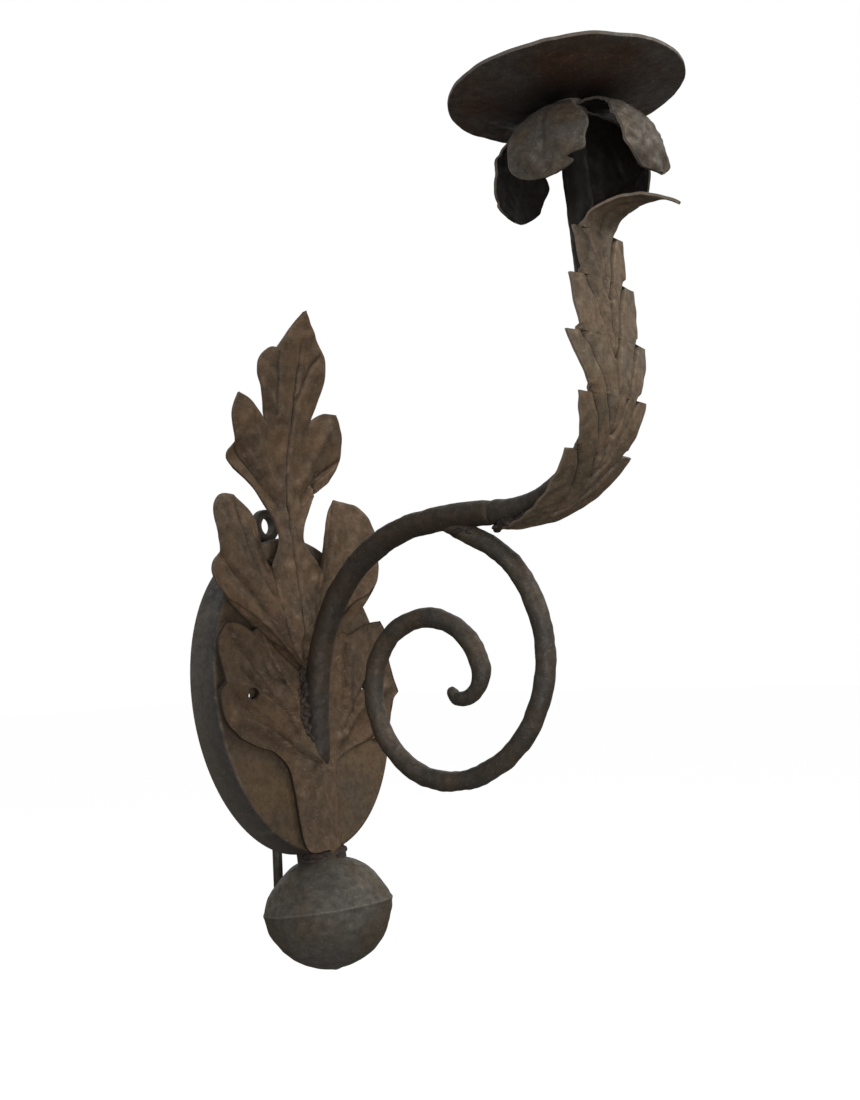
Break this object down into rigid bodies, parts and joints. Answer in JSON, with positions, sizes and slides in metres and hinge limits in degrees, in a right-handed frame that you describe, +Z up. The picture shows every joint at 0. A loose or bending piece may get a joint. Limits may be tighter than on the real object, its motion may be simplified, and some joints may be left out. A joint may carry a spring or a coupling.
{
  "type": "candle wall sconce",
  "caption": "Wrought iron wall sconce: leafed oval back plate, tube arm with scroll and leaf, petal-held candle pan with spike, ball finial on a hanging rod.",
  "frame": {"origin": "middle of the hanging eye's bore, at the eye's back face on the wall", "axes": "+Z up, +Y into the wall, -Y into the room, +X to the right seen from the room; the wall is Y = 0"},
  "size_m": [0.1296, 0.2553, 0.4209],
  "materials": {
    "plate_iron": "patinated wrought iron, matt grey-brown",
    "leaf_iron": "patinated wrought iron, matt rusty brown",
    "bar_iron": "patinated wrought iron, matt dark grey",
    "ball_iron": "patinated wrought iron, matt grey-brown",
    "pan_iron": "patinated wrought iron, matt dark brown",
    "weld_iron": "rough weld metal, matt dark brown"
  },
  "bodies": {
    "root": {"back_plate": "plate_iron", "hanging_rod": "bar_iron", "rod_welds": "weld_iron", "ball_neck": "ball_iron", "ball_upper_dome": "ball_iron", "ball_lower_dome": "ball_iron", "base_leaf": "leaf_iron", "crest_leaf": "leaf_iron", "crest_leaf_tacks": "weld_iron", "arm_foot_tube": "bar_iron", "arm_foot_weld": "weld_iron", "arm_top_tube": "bar_iron", "scroll_bar": "bar_iron", "scroll_weld": "weld_iron", "arm_leaf": "leaf_iron", "arm_leaf_welds": "weld_iron", "petal_collar": "bar_iron", "petal_front": "leaf_iron", "petal_right": "leaf_iron", "petal_back": "leaf_iron", "petal_left": "leaf_iron", "tube_plug": "bar_iron", "drip_pan": "pan_iron", "candle_spike": "bar_iron"}
  },
  "joints": []
}
